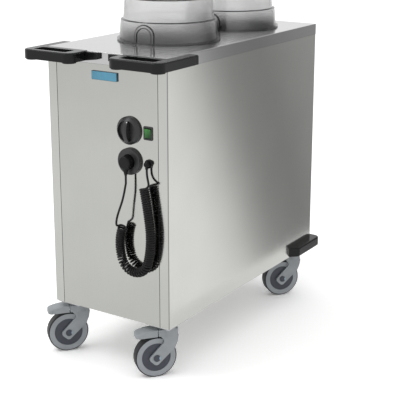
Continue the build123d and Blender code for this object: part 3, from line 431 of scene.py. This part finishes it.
def moulding_painted_shade(new, link, middle_y, foot):
    """Where a dome gets painted shade: its ledges, its shoulder line and both flanks of the tab's ridge."""
    place = vector(new, link, "SUBTRACT", own_coords(new), (0, middle_y, foot))
    height = vector(new, link, "DOT_PRODUCT", place, (0, 0, 1))
    low_down = calculate(new, link, "LESS_THAN", height, DOME_STEP)

    outward = vector(new, link, "NORMALIZE", vector(new, link, "MULTIPLY", place, (1, 1, 0)))
    facing = vector(new, link, "DOT_PRODUCT", outward, new("ShaderNodeNewGeometry").outputs["True Normal"])
    tilt = calculate(new, link, "SUBTRACT", LEDGE_LIMIT, calculate(new, link, "ABSOLUTE", facing))
    ledge = calculate(new, link, "DIVIDE", tilt, LEDGE_SOFT, clamp=True)
    ledge = calculate(new, link, "MULTIPLY", ledge, low_down)

    shoulder = within(new, link, height, DOME_SHOULDER, SHOULDER_HALF, SHOULDER_SOFT)

    turn = radians(TAB_AZIMUTH)
    across = vector(new, link, "DOT_PRODUCT", place, (cos(turn), sin(turn), 0))
    ahead = vector(new, link, "DOT_PRODUCT", place, (sin(turn), -cos(turn), 0))
    rise = calculate(new, link, "MAXIMUM", calculate(new, link, "SUBTRACT", height, TAB_ARCH), 0.0)
    both = new("ShaderNodeCombineXYZ")
    link(across, both.inputs["X"])
    link(rise, both.inputs["Y"])
    reach = vector(new, link, "LENGTH", both.outputs["Vector"])
    from_ridge = calculate(new, link, "ABSOLUTE", calculate(new, link, "SUBTRACT", reach, TAB_RIDGE_LINE))
    ridge = within(new, link, from_ridge, TAB_RIDGE_HALF, RIDGE_EDGE_HALF, RIDGE_EDGE_SOFT)
    for limit in (calculate(new, link, "GREATER_THAN", ahead, 0.0), low_down):
        ridge = calculate(new, link, "MULTIPLY", ridge, limit)
    return calculate(new, link, "MAXIMUM", ledge, calculate(new, link, "MAXIMUM", shoulder, ridge))


def smoky(name, node, colour, shade_tone, roughness, smoke, density):
    """Clear smoky plastic with painted shade at its foot and along its mouldings; its sheen is partly that of
    a mirror.
    """
    material, shader, new, link = new_material(name)
    coords = own_coords(new)
    clouds = noise(new, link, coords, scale=6)
    low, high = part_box(node)
    foot = low[2]
    clear = cloudy(new, link, clouds, *tones(colour, 0.96, 1.04))
    height = vector(new, link, "DOT_PRODUCT", coords, (0, 0, 1))
    # Painted shade, deepest at the foot.
    rise = spread(new, link, height, FOOT_SHADE, 1.0, start=foot, end=foot + DOME_STEP, smooth=True)
    shaded = blend(new, link, rise, shade_tone, clear)
    # Painted shade along the ledges, the shoulder line and the tab's ridge.
    dark = moulding_painted_shade(new, link, (low[1] + high[1]) / 2, foot)
    link(blend(new, link, dark, shaded, shade_tone), shader.inputs["Base Color"])
    link(vary(new, link, clouds, roughness, part=0.2), shader.inputs["Roughness"])
    bump(new, link, shader, noise(new, link, coords, scale=300), strength=0.03, distance=0.0003)
    shader.inputs["Metallic"].default_value = DOME_MIRROR
    shader.inputs["Transmission Weight"].default_value = 1.0
    shader.inputs["IOR"].default_value = ACRYLIC_IOR
    inside = new("ShaderNodeVolumeAbsorption")
    inside.inputs["Color"].default_value = (*smoke, 1)
    inside.inputs["Density"].default_value = density
    output = material.node_tree.nodes["Material Output"]
    link(inside.outputs["Volume"], output.inputs["Volume"])
    return material


def wheel_guard(name, node, disc, cap):
    """Guard discs of one colour with the axle's caps of another in their middle."""
    material, shader, new, link = new_material(name)
    coords = own_coords(new)
    low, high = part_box(node.replace("axle", "wheel"))
    middle = (0, (low[1] + high[1]) / 2, (low[2] + high[2]) / 2)
    flat = vector(new, link, "MULTIPLY", vector(new, link, "SUBTRACT", coords, middle), (0, 1, 1))
    inner = calculate(new, link, "LESS_THAN", vector(new, link, "LENGTH", flat), CAP_RADIUS)
    clouds = noise(new, link, coords, scale=40, detail=3)
    parts = [cloudy(new, link, clouds, *tones(colour, 0.85)) for colour in (disc, cap)]
    link(blend(new, link, inner, *parts), shader.inputs["Base Color"])
    link(spread(new, link, clouds, low=0.32, high=0.45), shader.inputs["Roughness"])
    bump(new, link, shader, noise(new, link, coords, scale=900), strength=0.12, distance=0.0003)
    return material


def dress_nodes():
    """Give every CAD node its material."""
    # The side steel's X faces are painted lighter, as painted light, and its bent corners darker, as a
    # painted dark reflection; the front steel's X faces are painted darker, as painted shade.
    steel = brushed("steel_side", (0.495, 0.5, 0.475), roughness=0.14, grain=UPRIGHT, variation=0.04,
                    painted_side_shading=(0.64, 0.645, 0.615), painted_bend_shade=(0.24, 0.24, 0.235))
    steel_front = brushed("steel_front", (0.462, 0.467, 0.443), roughness=0.1, grain=UPRIGHT, variation=0.04,
                          painted_side_shading=(0.12, 0.12, 0.12))
    steel_top = brushed("steel_top", (0.53, 0.53, 0.53), roughness=0.12, grain=LENGTHWISE, variation=0.04)
    # The steel inside the well, its lift frame, guides and platform is painted dark as painted shade.
    steel_inner_painted_shade = brushed("steel_inner_painted_shade", (0.2, 0.2, 0.2), roughness=0.38, grain=UPRIGHT)
    zinc = brushed("zinc", (0.5, 0.51, 0.52), roughness=0.4, grain=EVEN, variation=0.1)
    black = plastic("black_grained", (0.006, 0.006, 0.0065), roughness=0.24, grain_scale=1200, relief=0.2,
                    gloss=0.24)
    control = plastic("control_black", (0.022, 0.022, 0.023), roughness=0.34, grain_scale=1500, relief=0.1,
                      gloss=0.45)
    rubber = plastic("plug_black", (0.004, 0.004, 0.0045), roughness=0.4, gloss=0.22)
    fork_grey = plastic("fork_grey", (0.29, 0.31, 0.325), roughness=0.45)
    wheel_grey = plastic("wheel_grey", (0.29, 0.31, 0.33), roughness=0.42)
    tyre = plastic("tyre_grey", (0.018, 0.018, 0.02), roughness=0.5, grain_scale=500, relief=0.3, gloss=0.35)
    # The name plate's darker rims are painted shade.
    blue = shade_edged_plate("name_plate_blue", face=(0.09, 0.31, 0.45), edge=(0.004, 0.05, 0.085), roughness=0.3)
    green = lens("green_lens", light=(0.035, 0.22, 0.035), dark=(0.005, 0.04, 0.006))
    by_name = {"top_plate": steel_top, "name_plate": blue, "rocker": green}
    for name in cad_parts:
        if name.startswith("axle"):
            by_name[name] = wheel_guard("guard_" + name, name, disc=(0.045, 0.05, 0.068),
                                        cap=(0.3, 0.44, 0.56))
        # The domes' dark tone is painted shade at the foot and along the mouldings.
        elif name.startswith("dome"):
            by_name[name] = smoky("smoky_" + name, name, colour=(0.97, 0.97, 0.97), shade_tone=(0.05, 0.05, 0.05),
                                  roughness=0.16, smoke=(0.2, 0.2, 0.2), density=30)
    by_start = (
        ("side_panel", steel), ("front_panel", steel_front), ("rear_panel", steel), ("base_pan", steel),
        ("inner", steel_inner_painted_shade), ("handle", black), ("bumper", black), ("lift_frame", steel_inner_painted_shade),
        ("springs", zinc), ("guide_", steel_inner_painted_shade), ("platform", steel_inner_painted_shade), ("heater", zinc),
        ("thermostat", control), ("knob", control), ("switch_frame", control), ("park_socket", control),
        ("cable_gland", rubber), ("plug", rubber), ("caster", zinc), ("fork", fork_grey),
        ("wheel", wheel_grey), ("tyre", tyre), ("brake_pedal", fork_grey),
    )
    for name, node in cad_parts.items():
        material = by_name.get(name) or next((m for start, m in by_start if name.startswith(start)), black)
        node.data.materials.clear()
        node.data.materials.append(material)


# ---------------------------------------------------------------- small marks and painted seam shade
SEAM_X = 0.17775
SEAM_WIDTH = 0.0017
SEAM_PROUD = 0.0003
# The strip's section, as parts of half its width and of how far it stands proud.
SEAM_OUTLINE = ((-1, -1), (-0.9, 0.6), (-0.5, 1), (0.5, 1), (0.9, 0.6), (1, -1))
DOT_RADIUS = 0.0017
DOT_RISE = 0.0004
DOT_PLACE = (0.0845, -0.4310, 0.7640)
DOT_WAY = (0.08, -0.85, 0.52)
DOT_SIDES = 20
# Each ring of points under the dot's top, as parts of its radius and its rise.
DOT_RINGS = ((0.6, 0.8), (1.0, 0.0), (1.0, -1.5))


def mesh_piece(name, points, faces, body, material):
    """A piece from points and faces, riding on a body."""
    mesh = bpy.data.meshes.new(name)
    mesh.from_pydata(points, [], faces)
    mesh.materials.append(material)
    piece = add_object(name, mesh)
    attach(piece, body)


def make_seam_shadows(material):
    """Dark strips of painted shade in the joints beside the front and rear panels, each a low rounded strip.
    """
    ends = {"front": (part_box("front_panel")[0], -1), "rear": (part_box("rear_panel")[1], 1)}
    bottom, top = (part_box("front_panel")[k][2] for k in (0, 1))
    outline = [(SEAM_WIDTH * across / 2, SEAM_PROUD * out) for across, out in SEAM_OUTLINE]
    count = len(outline)
    faces = [(k, (k + 1) % count, count + (k + 1) % count, count + k) for k in range(count)]
    faces += [tuple(range(count)), tuple(range(2 * count - 1, count - 1, -1))]
    for end, (corner, way) in ends.items():
        for hand in (-1, 1):
            points = [(hand * SEAM_X + x, corner[1] + way * y, z) for z in (bottom, top) for x, y in outline]
            side = "right" if hand > 0 else "left"
            mesh_piece(f"seam_{end}_{side}", points, faces, "cart", material)


def make_dot(material):
    """The white pointer dot on the knob's bar, a low painted dome."""
    way = Vector(DOT_WAY).normalized()
    across = way.orthogonal().normalized()
    along = way.cross(across)
    points = [Vector(DOT_PLACE) + way * DOT_RISE]
    for reach, rise in DOT_RINGS:
        for k in range(DOT_SIDES):
            angle = 2 * pi * k / DOT_SIDES
            out = (across * cos(angle) + along * sin(angle)) * DOT_RADIUS * reach
            points.append(Vector(DOT_PLACE) + out + way * DOT_RISE * rise)
    following = [(k + 1) % DOT_SIDES for k in range(DOT_SIDES)]
    faces = [(0, 1 + k, 1 + after) for k, after in enumerate(following)]
    for ring in (1, 1 + DOT_SIDES):
        outer = ring + DOT_SIDES
        faces += [(ring + k, outer + k, outer + after, ring + after) for k, after in enumerate(following)]
    faces.append(tuple(3 * DOT_SIDES - k for k in range(DOT_SIDES)))
    mesh_piece("knob_dot", points, faces, "knob", material)


# ---------------------------------------------------------------- studio
SKY_LIGHT = 0.95
FLOOR_HALF = 12.0
FLOOR_SHADES = ((0.84, 0.84, 0.84), (0.86, 0.86, 0.86))
FLOOR_GLOW = 0.22
# To the camera alone the floor is paler than white, so that it is white in the open under the soft light.
FLOOR_WHITE = 1.32
CARD_X = 0.5
CARD_ENDS = (-0.3, 5.0)
CARD_TOP = 2.6
CARD_SLOPE = 0.5
CARD_REACH = 4.0
# Places along the card, from front to rear, and how bright it is there.
CARD_SHADES = (
    (0.26, 1.05), (0.37, 0.98), (0.45, 0.88), (0.53, 0.74), (0.61, 0.57), (0.69, 0.42), (0.77, 0.34),
    (0.86, 0.3), (1.0, 0.28), (1.5, 0.42), (2.5, 0.5),
)


def stage_sheet(name, corners, material):
    """A flat sheet of the studio, which isn't part of the cart."""
    mesh = bpy.data.meshes.new(name)
    mesh.from_pydata(corners, [], [(0, 1, 2, 3)])
    mesh.materials.append(material)
    sheet = add_object(name, mesh)
    return sheet


def seen_directly(new, link):
    """1 for rays from the camera, in gloss and through clear parts, and 0 for the light on surfaces."""
    path = new("ShaderNodeLightPath")
    found = path.outputs["Is Camera Ray"]
    for kind in ("Is Glossy Ray", "Is Transmission Ray"):
        found = calculate(new, link, "MAXIMUM", found, path.outputs[kind])
    return found


def make_floor():
    """A pale floor that looks white in the open and keeps the cart's soft shadow."""
    material, shader, new, link = new_material("floor_white")
    clouds = noise(new, link, own_coords(new), scale=2)
    link(cloudy(new, link, clouds, *FLOOR_SHADES), shader.inputs["Base Color"])
    shader.inputs["Roughness"].default_value = 0.9
    shader.inputs["Specular IOR Level"].default_value = 0.0
    shader.inputs["Emission Color"].default_value = (1, 1, 1, 1)
    link(spread(new, link, seen_directly(new, link), 0.0, FLOOR_GLOW), shader.inputs["Emission Strength"])
    paper = new("ShaderNodeBsdfDiffuse")
    paper.inputs["Color"].default_value = (FLOOR_WHITE, FLOOR_WHITE, FLOOR_WHITE, 1)
    pick = new("ShaderNodeMixShader")
    link(new("ShaderNodeLightPath").outputs["Is Camera Ray"], pick.inputs["Fac"])
    link(shader.outputs["BSDF"], pick.inputs[1])
    link(paper.outputs["BSDF"], pick.inputs[2])
    link(pick.outputs["Shader"], material.node_tree.nodes["Material Output"].inputs["Surface"])
    corners = [(x * FLOOR_HALF, y * FLOOR_HALF, 0) for x, y in ((-1, -1), (1, -1), (1, 1), (-1, 1))]
    stage_sheet("floor", corners, material)


def make_card():
    """A tall card beside the cart, seen only in gloss, whose shades run from front to rear.

    It gives the right side panel its fall from light to dark, and darkens the rear panel from the left.
    """
    material, shader, new, link = new_material("card_grey")
    coords = own_coords(new)
    along = calculate(new, link, "MULTIPLY_ADD", part_of(new, link, coords, "Z"), CARD_SLOPE,
                      part_of(new, link, coords, "Y"))
    shade = new("ShaderNodeValToRGB")
    steps = shade.color_ramp.elements
    while len(steps) < len(CARD_SHADES):
        steps.new(0.5)
    for step, (place, grey) in zip(steps, CARD_SHADES):
        step.position = place / CARD_REACH
        step.color = (grey, grey, grey, 1)
    link(calculate(new, link, "DIVIDE", along, CARD_REACH), shade.inputs["Fac"])
    link(shade.outputs["Color"], shader.inputs["Emission Color"])
    shader.inputs["Emission Strength"].default_value = 1.0
    shader.inputs["Base Color"].default_value = (0, 0, 0, 1)
    shader.inputs["Specular IOR Level"].default_value = 0.0
    near, far = CARD_ENDS
    places = ((near, 0.0), (far, 0.0), (far, CARD_TOP), (near, CARD_TOP))
    card = stage_sheet("shade_card", [(CARD_X, y, z) for y, z in places], material)
    card.visible_camera = card.visible_diffuse = card.visible_transmission = card.visible_shadow = False


def area_light(name, place, target, size, power):
    """A soft square lamp that looks at a point."""
    data = bpy.data.lights.new(name, "AREA")
    data.shape = "SQUARE"
    data.size = size
    data.energy = power
    lamp = add_object(name, data)
    way = Vector(target) - Vector(place)
    lamp.matrix_world = Matrix.Translation(place) @ way.to_track_quat("-Z", "Y").to_matrix().to_4x4()


def make_world():
    """White to the camera, to gloss and through clear parts; soft light on everything else."""
    world = bpy.data.worlds.new("studio")
    bpy.context.scene.world = world
    world.use_nodes = True
    new = world.node_tree.nodes.new
    link = world.node_tree.links.new
    background = world.node_tree.nodes["Background"]
    background.inputs["Color"].default_value = (1, 1, 1, 1)
    link(spread(new, link, seen_directly(new, link), SKY_LIGHT, 1.0), background.inputs["Strength"])


make_camera()
cord = make_cord()
dress_nodes()
cord.data.materials.append(
    plastic("cord_black", (0.004, 0.004, 0.0042), roughness=0.33, grain_scale=1500, relief=0.1, gloss=0.25))
# Dark strips that stand for the shade in the panel joints.
make_seam_shadows(plastic("seam_shadow_black", (0.02, 0.02, 0.02), roughness=0.5, gloss=0.2))
make_dot(plastic("dot_white", (0.75, 0.75, 0.74), roughness=0.4))
make_floor()
make_card()
make_world()
area_light("key", place=(-1.6, -2.0, 3.6), target=(0, 0, 0.6), size=1.6, power=30)
bpy.context.scene.view_settings.view_transform = "Standard"
